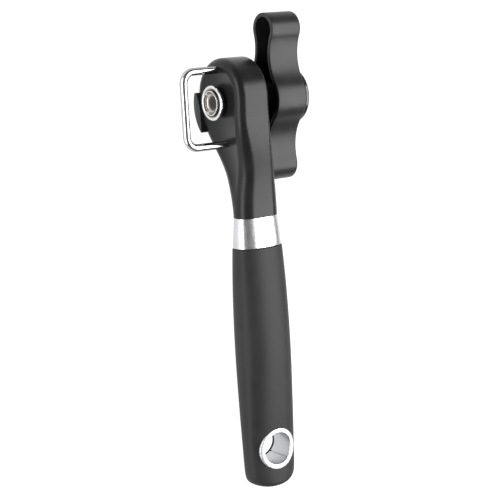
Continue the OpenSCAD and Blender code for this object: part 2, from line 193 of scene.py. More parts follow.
WIRE_R = 1.6
LOOP_D = 33.3
LOOP_CORNER = 5.0
LEG_TOP = -13.9
LEG_LOW = 18.2
LEG_TOP_ROOT = 7.0
LEG_LOW_ROOT = 3.0

GUIDE_SPAN = (-4.0, 13.2)
GUIDE_KNEE = 2.0
GUIDE_INNER = (-13.7, -11.9, -11.7)
GUIDE_CENTRE = (1.8, 0.8)
GUIDE_R = 17.2
GUIDE_D = (12.9, 18.1)
GUIDE_BEVEL = 0.25
# Bend of the guide's inner side at its knee, as (distance along, height over GUIDE_INNER's middle)
GUIDE_BEND = [(1.5, 0.15), (0.0, -0.05), (-1.5, -0.5)]


# ---------------------------------------------------------------- small helpers

def place(h, s, d):
    """A point of the head's own frame, in the row frame and in metres."""
    return Vector(((h - DRIVE_TO_HOLE) * MM, -d * MM, s * MM))


def smooth(t):
    u = min(max(t, 0.0), 1.0)
    return u * u * (3 - 2 * u)


def mix(a, b, t):
    return a + (b - a) * t


def sind(t):
    return math.sin(math.radians(t))


def cosd(t):
    return math.cos(math.radians(t))


def make_object(name, verts, faces, sharp=30):
    mesh = bpy.data.meshes.new(name)
    mesh.from_pydata(verts, [], faces)
    mesh.validate()
    bm = bmesh.new()
    bm.from_mesh(mesh)
    bmesh.ops.recalc_face_normals(bm, faces=bm.faces)
    bm.to_mesh(mesh)
    bm.free()
    obj = bpy.data.objects.new(name, mesh)
    bpy.context.collection.objects.link(obj)
    shade(obj, sharp)
    return obj


def shade(obj, sharp=30):
    for poly in obj.data.polygons:
        poly.use_smooth = True
    obj.data.set_sharp_from_angle(angle=math.radians(sharp))


def loft(name, rings, sharp=30, capped=True):
    """A skin over rings of points that all have the same number of points."""
    n = len(rings[0])
    verts = [p for ring in rings for p in ring]
    faces = []
    for i in range(len(rings) - 1):
        for j in range(n):
            k = (j + 1) % n
            faces.append((i * n + j, i * n + k, (i + 1) * n + k, (i + 1) * n + j))
    if capped:
        faces.append(tuple(range(n))[::-1])
        faces.append(tuple(range((len(rings) - 1) * n, len(rings) * n)))
    return make_object(name, verts, faces, sharp)


def lathe(name, profile, steps=128, sharp=30, turn=0.0):
    """A surface of revolution about the drive axis. profile is a closed list of (radius, depth)."""
    rings = []
    for k in range(steps):
        t = turn + 360 * k / steps
        rings.append([place(r * cosd(t), r * sind(t), d) for r, d in profile])
    obj = ring_skin(name, rings, sharp)
    weld(obj)
    return obj


def weld(obj, distance=0.000002):
    bm = bmesh.new()
    bm.from_mesh(obj.data)
    bmesh.ops.remove_doubles(bm, verts=bm.verts, dist=distance)
    bmesh.ops.dissolve_degenerate(bm, edges=bm.edges, dist=distance)
    bmesh.ops.recalc_face_normals(bm, faces=bm.faces)
    bm.to_mesh(obj.data)
    bm.free()


def round_profile(points, radius, steps=5):
    """Rounds the corners of a closed (radius, depth) outline. radius may be one per corner."""
    out = []
    n = len(points)
    for i, p in enumerate(points):
        r = radius[i] if isinstance(radius, (list, tuple)) else radius
        a, b, c = (Vector(points[i - 1]), Vector(p), Vector(points[(i + 1) % n]))
        u, v = a - b, c - b
        if r <= 0 or u.length < 1e-9 or v.length < 1e-9:
            out.append(tuple(b))
            continue
        half = u.angle(v) / 2
        cut = min(r / max(math.tan(half), 1e-6), 0.49 * u.length, 0.49 * v.length)
        r = cut * math.tan(half)
        u.normalize()
        v.normalize()
        centre = b + (u + v).normalized() * (r / max(math.sin(half), 1e-6))
        start = b + u * cut - centre
        end = b + v * cut - centre
        sweep = start.angle_signed(end)
        for k in range(steps + 1):
            t = -sweep * k / steps
            x = start.x * math.cos(t) - start.y * math.sin(t)
            y = start.x * math.sin(t) + start.y * math.cos(t)
            out.append((centre.x + x, centre.y + y))
    return out


def cut(obj, tool):
    """Cuts one closed piece out of another for good."""
    mod = obj.modifiers.new("cut", "BOOLEAN")
    mod.operation = "DIFFERENCE"
    mod.solver = "EXACT"
    mod.object = tool
    bpy.context.view_layer.update()
    deps = bpy.context.evaluated_depsgraph_get()
    mesh = bpy.data.meshes.new_from_object(obj.evaluated_get(deps))
    obj.modifiers.clear()
    obj.data = mesh
    bpy.data.objects.remove(tool)


def rod_tool(name, radius, start, end, steps=160):
    """A closed round bar on the drive axis, used as a cutter."""
    rings = [[place(radius * cosd(360 * k / steps), radius * sind(360 * k / steps), d)
              for k in range(steps)] for d in (start, end)]
    return loft(name, rings)


# ---------------------------------------------------------------- head form

def ease(h, start, end):
    return smooth((h - start) / (end - start))


def head_front(h):
    return mix(FACE_D, NECK_FRONT, ease(h, FACE_DROP[0], FACE_DROP[1]))


def head_back(h):
    return mix(BACK_D, NECK_BACK, ease(h, BACK_DROP_START, NECK_END))


def head_half(h):
    return mix(HEAD_R, NECK_HALF, ease(h, -HEAD_SHIFT, NECK_END))


def front_round(h):
    return mix(FACE_FILLET, NECK_FILLET, ease(h, FRONT_ROUND_START, NECK_END))


def back_round(h):
    return mix(BACK_FILLET, NECK_FILLET, ease(h, BACK_ROUND_START, NECK_END))


def half_at(h, inset):
    if h < -HEAD_SHIFT:
        return math.sqrt(max(0.0, (HEAD_R - inset) ** 2 - (h + HEAD_SHIFT) ** 2))
    return head_half(h) - inset


def fillet_reach(h, r):
    if h >= -HEAD_SHIFT:
        return 90.0
    return math.degrees(math.acos(max(0.0, 1 - (HEAD_R + HEAD_SHIFT + h) / r)))


def head_side(h, steps):
    rf, rb = front_round(h), back_round(h)
    tf, tb = fillet_reach(h, rf), fillet_reach(h, rb)
    side = []
    for k in range(steps, -1, -1):
        t = tf * k / steps
        side.append((half_at(h, rf * (1 - cosd(t))), head_front(h) - rf + rf * sind(t)))
    for k in range(steps + 1):
        t = tb * k / steps
        side.append((half_at(h, rb * (1 - cosd(t))), head_back(h) + rb - rb * sind(t)))
    return side


def head_ring(h, steps):
    side = head_side(h, steps)
    wide, front = side[0]
    # The flat of the working face lies a little below the fillet's crest
    if wide > PANEL_MIN:
        drop = PANEL_DEPTH * smooth((wide - PANEL_MIN) / PANEL_FADE)
        panel = [(wide - PANEL_INSET, front), (wide - PANEL_INSET - PANEL_EDGE, front - drop)]
    else:
        panel = [(wide * share, front) for share in PANEL_NARROW]
    right = [panel[1], panel[0]] + side
    left = [(-w, d) for w, d in reversed(right)]
    return [place(h, w, d) for w, d in right + left]


def head_stations(top_steps, neck_steps):
    top = [-HEAD_SHIFT - HEAD_R * sind(89.4 * (1 - k / top_steps)) for k in range(top_steps)]
    neck = [mix(-HEAD_SHIFT, NECK_END, k / neck_steps) for k in range(neck_steps + 1)]
    return top + neck


def make_head():
    head = loft("head_housing", [head_ring(h, 14) for h in head_stations(40, 110)], sharp=35)
    cut(head, rod_tool("cover_seat", COVER_R, NECK_BACK - CUT_PAST, COVER_D))
    cut(head, rod_tool("lobe_relief", LOBE_REACH + LOBE_R + SWEEP_GAP, NECK_BACK - CUT_PAST,
                       KNOB_FRONT + SWEEP_GAP))
    shade(head, 35)
    return head


# ---------------------------------------------------------------- handle form

def slope(i, j, c):
    return (STATIONS[j][c] - STATIONS[i][c]) / (STATIONS[j][0] - STATIONS[i][0])


def tangent(i, c):
    if i == 0:
        return slope(0, 1, c)
    if i == len(STATIONS) - 1:
        return slope(i - 1, i, c)
    return slope(i - 1, i + 1, c)


def along(h, c):
    i = 0
    while i < len(STATIONS) - 2 and h >= STATIONS[i + 1][0]:
        i += 1
    a, b = STATIONS[i], STATIONS[i + 1]
    span = b[0] - a[0]
    t = (h - a[0]) / span
    u = 1 - t
    return (a[c] * u * u * (1 + 2 * t) + b[c] * t * t * (3 - 2 * t)
            + span * t * u * (tangent(i, c) * u - tangent(i + 1, c) * t))


def end_depth(q, side):
    """Half depth at a distance q from the tip: a smooth minimum of the side and the end's arc."""
    u = max(q, END_TIP)
    if u >= END_ARC:
        return side
    arc = math.sqrt(END_ARC ** 2 - (END_ARC - u) ** 2)
    return (side ** -END_CORNER + arc ** -END_CORNER) ** (-1 / END_CORNER)


def end_factor(q):
    u = max(q, END_TIP)
    if u >= END_THIN:
        return 1.0
    return (1 - (1 - u / END_THIN) ** END_THIN_POWER) ** (1 / END_THIN_POWER)


def power(v, p):
    return math.copysign(abs(v) ** p, v)


def handle_axes(h, grow, end):
    return end_depth(end - h, along(h, 1) + grow), (along(h, 2) + grow) * end_factor(end - h)


def handle_ring(h, grow, points=96, end=HANDLE_END):
    a, b = handle_axes(h, grow, end)
    ring = []
    for k in range(points):
        t = 360 * (k + 0.5) / points
        ring.append(place(h, b * power(cosd(t), 2 / ROUNDNESS), a * power(sind(t), 2 / ROUNDNESS)))
    return ring


def handle_thickness(h, d, grow):
    """Half the handle's thickness at distance h and depth d."""
    a, b = handle_axes(h, grow, HANDLE_END + grow)
    return b * max(0.0, 1 - abs(d / a) ** ROUNDNESS) ** (1 / ROUNDNESS)


def make_collar():
    profile = [(x, -COLLAR_DROP - drop) for x, drop in COLLAR_EDGE]
    length = COLLAR_END - NECK_END
    edge = COLLAR_EDGE[-1][0]
    rows = profile + [(mix(edge, length - edge, k / 8), -COLLAR_DROP) for k in range(1, 8)]
    rows += [(length - x, g) for x, g in reversed(profile)]
    rings = [handle_ring(NECK_END + x, g, 128) for x, g in rows]
    return ring_skin("collar_ring", rings, 50)


def make_grip():
    rings = [handle_ring(COLLAR_END + x, g, 128) for x, g in GRIP_EDGE]
    shoulder = HANDLE_END - END_LENGTH
    rings += [handle_ring(mix(COLLAR_END + GRIP_EDGE_END, shoulder, k / 90), 0, 128)
              for k in range(91)]
    rings += [handle_ring(mix(shoulder, HANDLE_END, sind(90 * k / 30)), 0, 128) for k in range(1, 31)]
    grip = loft("grip_skin", rings, 40)
    core_start, core_end = COLLAR_END - CORE_STARTS, HANDLE_END - CORE_STOPS
    core = loft("grip_hollow", [handle_ring(mix(core_start, core_end, k / 30), -GRIP_T, 64)
                                for k in range(31)])
    cut(grip, core)
    cut(grip, hole_tool())
    shade(grip, 40)
    return grip


def hole_tool(steps=144):
    """The space the hole takes in the grip: wide above, and a soft-edged lip below."""
    inner, outer = LINING_R + LINING_GAP, FLANGE_R - TOOL_UNDER_FLANGE
    lip = [(HOLE_R + past, grow) for past, grow in LIP_EDGE] + [(inner, -LIP_T - TOOL_UNDER_LIP)]
    rings = [[hole_point(radius, 360 * k / steps, -1, grow) for k in range(steps)]
             for radius, grow in lip]
    for radius, level in ((inner, TOOL_START), (outer, TOOL_STEP), (outer, TOOL_END)):
        rings.append([place(DRIVE_TO_HOLE + radius * cosd(360 * k / steps), level,
                            radius * sind(360 * k / steps)) for k in range(steps)])
    return loft("hole_tool", rings)


def hole_point(radius, angle, side, grow):
    """A point on a circle round the hole, at a height over the grip's surface."""
    h, d = DRIVE_TO_HOLE + radius * cosd(angle), radius * sind(angle)
    return place(h, side * handle_thickness(h, d, grow), d)


def crown_point(radius, angle, drop):
    """A point on a circle round the hole, at a height over the flange's crowned top."""
    d = radius * sind(angle)
    top = CROWN_TOP - CROWN_R + math.sqrt(CROWN_R ** 2 - d ** 2)
    return place(DRIVE_TO_HOLE + radius * cosd(angle), top + drop, d)


def ring_skin(name, rings, sharp):
    """Closes a row of rings of points into a ring-shaped solid."""
    n, m = len(rings[0]), len(rings)
    verts = [p for ring in rings for p in ring]
    faces = []
    for i in range(m):
        o = (i + 1) % m
        for j in range(n):
            k = (j + 1) % n
            faces.append((i * n + j, i * n + k, o * n + k, o * n + j))
    return make_object(name, verts, faces, sharp)


def make_lining(name, side):
    """Half of the hole's lining: flanged above, plain below, with a fine seam along its wall."""
    steps = 240
    rings = []
    for k in range(steps):
        t = 360 * k / steps
        seam = SEAM_DEPTH * max(0.0, 1 - abs((t - SEAM_ANGLE + 180) % 360 - 180) / SEAM_WIDTH)
        wall = HOLE_R + seam
        h, d = DRIVE_TO_HOLE + wall * cosd(t), wall * sind(t)
        ring = [place(h, 0, d)]
        if side > 0:
            ring += [crown_point(wall + r, t, g) for r, g in FLANGE_MOUTH]
            ring += [crown_point(FLANGE_R + r, t, g) for r, g in FLANGE_EDGE]
            ring += [hole_point(r, t, side, FLANGE_UNDER) for r in (FLANGE_R, LINING_R)]
        else:
            ring += [hole_point(wall + r, t, side, g) for r, g in LINING_FOOT]
            ring.append(hole_point(LINING_R, t, side, LINING_FOOT[-1][1]))
        ring.append(place(DRIVE_TO_HOLE + LINING_R * cosd(t), 0, LINING_R * sind(t)))
        rings.append(ring)
    return ring_skin(name, rings, 50)


# ---------------------------------------------------------------- drive wheel, disc and cup

def make_gear():
    steps = GEAR_TEETH * TOOTH_STEPS
    low, high = GEAR_D
    rings = []
    for k in range(steps):
        phase = (k % TOOTH_STEPS) / TOOTH_STEPS
        rise = smooth((0.5 - abs(phase - 0.5)) * TOOTH_FLANK - 0.5)
        r = GEAR_R - TOOTH_DEPTH * (1 - rise)
        t = KNOB_TURN + 360 * k / steps
        profile = [(GEAR_BORE, low), (r - GEAR_EDGE, low), (r, low + GEAR_EDGE),
                   (r, high - GEAR_EDGE), (r - GEAR_EDGE, high), (GEAR_BORE, high)]
        rings.append([place(q * cosd(t), q * sind(t), d) for q, d in profile])
    return ring_skin("drive_wheel", rings, 28)


def make_disc():
    top = DISC_D + DISC_HEIGHT
    inner = DISC_R - DISC_RIM
    bore = CUP_R + DISC_GAP
    outline = [(bore, DISC_D), (DISC_R, DISC_D), (DISC_R, top), (inner, top),
               (inner, DISC_D + DISC_WEB), (bore, DISC_D + DISC_WEB)]
    return lathe("cutting_disc", round_profile(outline, DISC_CORNERS, 7), 192, 40)


def make_cup():
    inner = CUP_R - CUP_WALL
    low = CUP_FLOOR + CUP_LIFT
    lip = [(CUP_R + past, CUP_TOP - drop) for past, drop in CUP_LIP]
    lip.append((inner + CUP_LIP_INNER[0], CUP_TOP - CUP_LIP_INNER[1]))
    bowl = [(inner - BOWL_R * (1 - cosd(t)), low + CUP_BASE + (BOWL_R - BOWL_SINK) * (1 - sind(t)))
            for t in range(10, 91, 10)]
    middle = [(CUP_DIMPLE_R[0], low + CUP_BASE), (CUP_DIMPLE_R[1], low + CUP_DIMPLE),
              (0.0, low + CUP_DIMPLE)]
    outline = [(0.0, low), (CUP_R, low)] + lip + bowl + middle
    radii = CUP_CORNERS + [0] * len(bowl) + [0.2, 0.2, 0]
    return lathe("axle_cup_tube", round_profile(outline, radii, 6), 160, 35)


# ---------------------------------------------------------------- wire loop

def loop_path():
    """Centre line of the wire, as (h, d)."""
    path = [(LEG_TOP, mix(LEG_TOP_ROOT, LOOP_D - LOOP_CORNER, k / 14)) for k in range(14)]
    for k in range(17):
        t = 90 * k / 16
        path.append((LEG_TOP + LOOP_CORNER * (1 - cosd(t)), LOOP_D - LOOP_CORNER * (1 - sind(t))))
    run = (LEG_TOP + LOOP_CORNER, LEG_LOW - LOOP_CORNER)
    path += [(mix(run[0], run[1], k / 16), LOOP_D) for k in range(1, 16)]
    for k in range(17):
        t = 90 * k / 16
        path.append((LEG_LOW - LOOP_CORNER * (1 - sind(t)), LOOP_D - LOOP_CORNER * (1 - cosd(t))))
    path += [(LEG_LOW, mix(LOOP_D - LOOP_CORNER, LEG_LOW_ROOT, k / 16)) for k in range(1, 17)]
    return path


def make_loop():
    path = loop_path()
    rings = []
    for i, (h, d) in enumerate(path):
        a, b = path[max(i - 1, 0)], path[min(i + 1, len(path) - 1)]
        along_h, along_d = b[0] - a[0], b[1] - a[1]
        length = math.hypot(along_h, along_d)
        across_h, across_d = -along_d / length, along_h / length
        rings.append([place(h + WIRE_R * cosd(t) * across_h, WIRE_R * sind(t),
                            d + WIRE_R * cosd(t) * across_d) for t in range(0, 360, 10)])
    return loft("wire_bail", rings, 40)


# ---------------------------------------------------------------- guide

def make_guide():
    steps = 20
    outline = []
    for k in range(steps + 1):
        h = mix(GUIDE_SPAN[0], GUIDE_SPAN[1], k / steps)
        outline.append((h, GUIDE_CENTRE[1] - math.sqrt(GUIDE_R ** 2 - (h - GUIDE_CENTRE[0]) ** 2)))
    outline.append((GUIDE_SPAN[1], GUIDE_INNER[2]))
    outline += [(GUIDE_KNEE + x, GUIDE_INNER[1] + rise) for x, rise in GUIDE_BEND]
    outline.append((GUIDE_SPAN[0], GUIDE_INNER[0]))
    rings = [[place(h, s, d) for h, s in outline] for d in GUIDE_D]
    guide = loft("rim_guide_block", rings, 30)
    bm = bmesh.new()
    bm.from_mesh(guide.data)
    edges = [e for e in bm.edges if e.calc_face_angle(0) > math.radians(25)]
    bmesh.ops.bevel(bm, geom=edges, offset=GUIDE_BEVEL * MM, segments=3, profile=0.5,
                    affect="EDGES")
    bm.to_mesh(guide.data)
    bm.free()
    shade(guide, 35)
    return guide


# ---------------------------------------------------------------- knob

def cove_radius():
    """Radius of the cove that touches both lobes and leaves the waist's width."""
    p = (LOBE_REACH ** 2 + MIDDLE_R ** 2 - LOBE_R ** 2) / (2 * LOBE_REACH)
    q = (MIDDLE_R - LOBE_R) / LOBE_REACH
    k = MIDDLE_R - WAIST - p * q
    c = p ** 2 + WAIST ** 2 - MIDDLE_R ** 2
    return (k - math.sqrt(k ** 2 - q ** 2 * c)) / q ** 2


def knob_outline(inset, arc_steps=14):
    """Outline of the knob drawn in by an inset, as (h, s) before its turn."""
    cove_r = cove_radius()
    cove_s = cove_r + WAIST
    cove_h = math.sqrt((cove_r + MIDDLE_R) ** 2 - cove_s ** 2)
    middle_angle = math.degrees(math.atan2(cove_s, cove_h))
    lobe_angle = math.degrees(math.atan2(cove_s, cove_h - LOBE_REACH))
    quarter = []
    for k in range(arc_steps):
        t = mix(0, lobe_angle, k / arc_steps)
        quarter.append((LOBE_REACH + (LOBE_R - inset) * cosd(t), (LOBE_R - inset) * sind(t)))
    start = lobe_angle + 180
    end = middle_angle + 180
    for k in range(arc_steps * 2):
        t = mix(start, end, k / (arc_steps * 2))
        quarter.append((cove_h + (cove_r + inset) * cosd(t), cove_s + (cove_r + inset) * sind(t)))
    for k in range(arc_steps // 2 + 1):
        t = mix(middle_angle, 90, k / (arc_steps // 2))
        quarter.append(((MIDDLE_R - inset) * cosd(t), (MIDDLE_R - inset) * sind(t)))
    half = quarter + [(-h, s) for h, s in reversed(quarter[:-1])]
    return half + [(h, -s) for h, s in reversed(half[1:-1])]


def turned(h, s, d, angle):
    """A point turned about the drive axis."""
    return place(h * cosd(angle) - s * sind(angle), h * sind(angle) + s * cosd(angle), d)


def knob_ring(inset, d):
    return [turned(h, s, d, KNOB_TURN) for h, s in knob_outline(inset)]


def make_knob():
    """The knob's shell: in at the hollow's root, out over the rim and round the rear edge."""
    inner_wall = KNOB_WALL + KNOB_ROOT_GAP
    floor = KNOB_REAR + KNOB_WALL
    rows = [(inner_wall + KNOB_ROOT, floor)]
    for t in (22.5, 45.0, 67.5, 90.0):
        rows.append((inner_wall + KNOB_ROOT * (1 - sind(t)), floor + KNOB_ROOT * (1 - cosd(t))))
    rows.append((KNOB_WALL, KNOB_FRONT - KNOB_RIM))
    for t in (22.5, 45.0, 67.5, 90.0):
        rows.append((KNOB_WALL - KNOB_RIM * (1 - cosd(t)), KNOB_FRONT - KNOB_RIM * (1 - sind(t))))
    for t in (0.0, 22.5, 45.0, 67.5, 90.0):
        rows.append((KNOB_RIM * (1 - sind(t)), KNOB_FRONT - KNOB_RIM * (1 - cosd(t))))
    rows += [(0.0, mix(KNOB_FRONT - KNOB_RIM, KNOB_REAR + KNOB_EDGE, k / 6)) for k in range(1, 7)]
    for k in range(1, 8):
        t = 90 * k / 7
        rows.append((KNOB_EDGE * (1 - cosd(t)), KNOB_REAR + KNOB_EDGE * (1 - sind(t))))
    return loft("knob_body", [knob_ring(inset, d) for inset, d in rows], 35)


def make_hub():
    rear = KNOB_REAR + HUB_START
    seat = HUB_FRONT - HUB_BORE_DEPTH
    outline = [(0.0, rear), (HUB_R + HUB_FLARE, rear), (HUB_R, KNOB_REAR + HUB_FLARE_LENGTH),
               (HUB_R, HUB_FRONT), (HUB_BORE, HUB_FRONT), (HUB_BORE, seat), (0.0, seat)]
    return lathe("knob_hub", round_profile(outline, HUB_CORNERS, 5), 96, 35)


def make_knob_ribs():
    bm = bmesh.new()
    for quarter in range(4):
        turn = KNOB_TURN + 90 * quarter
        root = HUB_R - 1
        corners = [(root, -RIB_HALF), (RIB_REACH, -RIB_HALF), (RIB_REACH, RIB_HALF), (root, RIB_HALF)]
        rows = []
        for d in (KNOB_REAR + HUB_START, KNOB_REAR + RIB_LENGTH):
            rows.append([bm.verts.new(turned(h, s, d, turn)) for h, s in corners])
        for j in range(4):
            k = (j + 1) % 4
            bm.faces.new((rows[0][j], rows[0][k], rows[1][k], rows[1][j]))
        bm.faces.new(rows[0][::-1])
        bm.faces.new(rows[1])
    bmesh.ops.recalc_face_normals(bm, faces=bm.faces)
    bmesh.ops.bevel(bm, geom=list(bm.edges), offset=RIB_BEVEL * MM, segments=2, affect="EDGES")
    mesh = bpy.data.meshes.new("knob_ribs")
    bm.to_mesh(mesh)
    bm.free()
    obj = bpy.data.objects.new("knob_ribs", mesh)
    bpy.context.collection.objects.link(obj)
    shade(obj, 35)
    return obj


def make_cap():
    back = KNOB_REAR - CAP_T
    seat = KNOB_REAR - CAP_LAP
    outline = [(0.0, seat), (CAP_R, seat), (CAP_R, back), (CAP_R - CAP_BORDER, back),
               (CAP_R - CAP_BORDER - CAP_SLOPE, back + CAP_DISH), (0.0, back + CAP_MIDDLE)]
    return lathe("knob_disc", round_profile(outline, CAP_CORNERS, 8), 160, 35)


# ---------------------------------------------------------------- materials

# Scales of the surface patterns, in repeats to the metre
PLASTIC_MOTTLE = 90
PLASTIC_WAVES = 160
METAL_MOTTLE = 140
TOOL_MARKS = 2600
SATIN_GRAIN = 3000


class Nodes:
    """Small wrapper that builds one node material."""

    def __init__(self, name):
        self.material = bpy.data.materials.new(name)
        self.material.use_nodes = True
        self.tree = self.material.node_tree
        self.shader = self.tree.nodes["Principled BSDF"]
        self.coords = self.tree.nodes.new("ShaderNodeTexCoord").outputs["Object"]

    def node(self, kind, **values):
        made = self.tree.nodes.new(kind)
        for key, value in values.items():
            setattr(made, key, value)
        return made

    def link(self, source, target):
        self.tree.links.new(source, target)

    def noise(self, scale, detail=4.0, roughness=0.5, stretch=None):
        made = self.node("ShaderNodeTexNoise")
        made.inputs["Scale"].default_value = scale
        made.inputs["Detail"].default_value = detail
        made.inputs["Roughness"].default_value = roughness
        if stretch:
            scaling = self.node("ShaderNodeMapping")
            scaling.inputs["Scale"].default_value = stretch
            self.link(self.coords, scaling.inputs["Vector"])
            self.link(scaling.outputs["Vector"], made.inputs["Vector"])
        else:
            self.link(self.coords, made.inputs["Vector"])
        return made.outputs["Fac"]

    def ramp(self, source, low, high, start=0.3, end=0.7):
        made = self.node("ShaderNodeMapRange")
        made.inputs["From Min"].default_value = start
        made.inputs["From Max"].default_value = end
        made.inputs["To Min"].default_value = low
        made.inputs["To Max"].default_value = high
        self.link(source, made.inputs["Value"])
        return made.outputs["Result"]

    def colours(self, source, low, high, start=0.35, end=0.65):
        made = self.node("ShaderNodeValToRGB")
        made.color_ramp.elements[0].position = start
        made.color_ramp.elements[1].position = end
        made.color_ramp.elements[0].color = (*low, 1)
        made.color_ramp.elements[1].color = (*high, 1)
        self.link(source, made.inputs["Fac"])
        return made.outputs["Color"]

    def radius(self):
        """Distance from the drive axis, as a share of BAND_REACH."""
        flat = self.node("ShaderNodeMapping")
        flat.inputs["Location"].default_value = (DRIVE_TO_HOLE * MM, 0, 0)
        flat.inputs["Scale"].default_value = (1, 0, 1)
        self.link(self.coords, flat.inputs["Vector"])
        length = self.node("ShaderNodeVectorMath", operation="LENGTH")
        self.link(flat.outputs["Vector"], length.inputs["Vector"])
        return self.ramp(length.outputs["Value"], 0, 1, 0, BAND_REACH * MM)

    def bands(self, source, stops):
        """A colour ramp with a stop for each (radius, colour)."""
        made = self.node("ShaderNodeValToRGB")
        elements = made.color_ramp.elements
        while len(elements) < len(stops):
            elements.new(0.5)
        for element, (radius, colour) in zip(elements, stops):
            element.position = radius / BAND_REACH
            element.color = (*colour, 1)
        self.link(source, made.inputs["Fac"])
        return made.outputs["Color"]

    def bump(self, source, strength, distance, under=None):
        made = self.node("ShaderNodeBump")
        made.inputs["Strength"].default_value = strength
        made.inputs["Distance"].default_value = distance
        self.link(source, made.inputs["Height"])
        if under:
            self.link(under, made.inputs["Normal"])
        return made.outputs["Normal"]


def plastic(name, dark, light, rough, grain, grain_depth, mottle=0.06, specular=0.5):
    """Moulded plastic with a fine grain, slow mottling and slightly uneven gloss."""
    m = Nodes(name)
    slow = m.noise(PLASTIC_MOTTLE, 3)
    fine = m.noise(grain, 3, 0.6)
    m.link(m.colours(slow, dark, light), m.shader.inputs["Base Color"])
    m.link(m.ramp(slow, rough - mottle, rough + mottle), m.shader.inputs["Roughness"])
    waves = m.bump(m.noise(PLASTIC_WAVES, 2), 0.12, 0.0002)
    m.link(m.bump(fine, 0.35, grain_depth, waves), m.shader.inputs["Normal"])
    m.shader.inputs["Specular IOR Level"].default_value = specular
    return m.material


def metal(name, dark, light, rough, streak=None, streak_depth=0.00001, wear=0.05, edge=1.0):
    """Metal with faint tool marks or a satin grain and uneven gloss."""
    m = Nodes(name)
    slow = m.noise(METAL_MOTTLE, 4)
    fine = m.noise(TOOL_MARKS, 2, 0.6, streak) if streak else m.noise(SATIN_GRAIN, 2)
    m.link(m.colours(slow, dark, light), m.shader.inputs["Base Color"])
    m.link(m.ramp(fine, max(rough - wear, 0.02), rough + wear), m.shader.inputs["Roughness"])
    m.link(m.bump(fine, 0.2, streak_depth), m.shader.inputs["Normal"])
    m.shader.inputs["Metallic"].default_value = 1.0
    m.shader.inputs["Specular Tint"].default_value = (edge, edge, edge, 1)
    return m.material


def turned_metal(name, stops, rough, edge):
    """Metal turned on the drive axis, coloured in bands by radius, with faint uneven gloss; its dark bands
    are painted shade in the part's hollows.
    """
    m = Nodes(name)
    grain = m.noise(SATIN_GRAIN, 2)
    m.link(m.bands(m.radius(), stops), m.shader.inputs["Base Color"])
    m.link(m.ramp(grain, rough - 0.03, rough + 0.04), m.shader.inputs["Roughness"])
    m.link(m.bump(grain, 0.2, 0.000004), m.shader.inputs["Normal"])
    m.shader.inputs["Metallic"].default_value = 1.0
    m.shader.inputs["Specular Tint"].default_value = (edge, edge, edge, 1)
    return m.material


def make_materials():
    return {
        "head_black": plastic("head_plastic", (0.008, 0.008, 0.0085), (0.011, 0.011, 0.0115), 0.3, 3200,
                              0.00002, 0.05, 0.22),
        "knob_black": plastic("knob_plastic", (0.013, 0.013, 0.0135), (0.017, 0.017, 0.0175), 0.37, 3000,
                              0.00002, 0.05, 0.25),
        "cap_black": plastic("cap_plastic", (0.01, 0.01, 0.011), (0.014, 0.014, 0.015), 0.2, 2400,
                             0.00001),
        "guide_black": plastic("guide_plastic", (0.012, 0.012, 0.013), (0.016, 0.016, 0.017), 0.36, 3000,
                               0.00002, 0.06, 0.4),
        "bushing_black": plastic("bushing_plastic", (0.008, 0.008, 0.008), (0.012, 0.012, 0.012), 0.5,
                                 2400, 0.00001, 0.06, 0.3),
        "core_grey": plastic("core_plastic", (0.02, 0.02, 0.021), (0.03, 0.03, 0.031), 0.55, 2000, 0.00003),
        "grip_rubber": plastic("soft_grip", (0.016, 0.016, 0.0165), (0.021, 0.021, 0.0215), 0.5, 4200,
                               0.00003, 0.03, 0.2),
        "collar_silver": metal("satin_collar", (0.58, 0.58, 0.59), (0.62, 0.62, 0.63), 0.3,
                               (0.06, 1, 1), 0.000008, 0.04),
        "insert_silver": metal("satin_lining", (0.56, 0.57, 0.59), (0.61, 0.62, 0.64), 0.42,
                               None, 0.000006, 0.04),
        # Painted shade: the disc is dark inside 5.9 mm, on the web sunk below its rim, where shade falls in
        # the groove.
        "chrome_disc": turned_metal("chrome_disc", [(5.9, (0.09, 0.08, 0.07)), (6.15, (0.74, 0.74, 0.73)),
                                                    (7.4, (0.74, 0.74, 0.73))], 0.09, 0.3),
        "chrome_wire": metal("chrome_wire", (0.5, 0.5, 0.5), (0.56, 0.56, 0.56), 0.15, None,
                             0.000003, 0.02, 0.15),
        # Painted shade: the cup darkens towards the middle of its sunken floor; its warm tint and bright
        # lip are the metal's own tone.
        "nickel_cup": turned_metal("nickel_cup", [(1.6, (0.05, 0.05, 0.052)), (2.9, (0.08, 0.079, 0.078)),
                                                  (3.5, (0.4, 0.36, 0.31)), (4.8, (0.5, 0.46, 0.41)),
                                                  (5.0, (0.75, 0.74, 0.72))], 0.1, 0.6),
        "gear_steel": metal("hardened_steel", (0.22, 0.21, 0.2), (0.35, 0.33, 0.31), 0.3, None,
                            0.00001, 0.08),
        "steel": metal("machined_steel", (0.5, 0.5, 0.51), (0.62, 0.62, 0.63), 0.3, (1, 0.05, 1),
                       0.00001, 0.08),
        "zinc_steel": metal("zinc_steel", (0.55, 0.56, 0.58), (0.7, 0.7, 0.71), 0.35, None, 0.00001, 0.1),
        "bronze": metal("sintered_bronze", (0.42, 0.28, 0.13), (0.56, 0.4, 0.2), 0.45, None, 0.00002, 0.1),
    }


# ---------------------------------------------------------------- the object

SLOTS = {entry["node"]: entry["material_slot"] for entry in frame["record"]["subparts"]}
MATERIALS = make_materials()


def finish_piece(obj, body, node, extra=()):
    """Gives a new piece its material and its body, and hides the CAD node that it stands for."""
    obj.data.materials.clear()
    obj.data.materials.append(MATERIALS[SLOTS[node]])
    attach(obj, body)
    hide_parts(node, *extra)


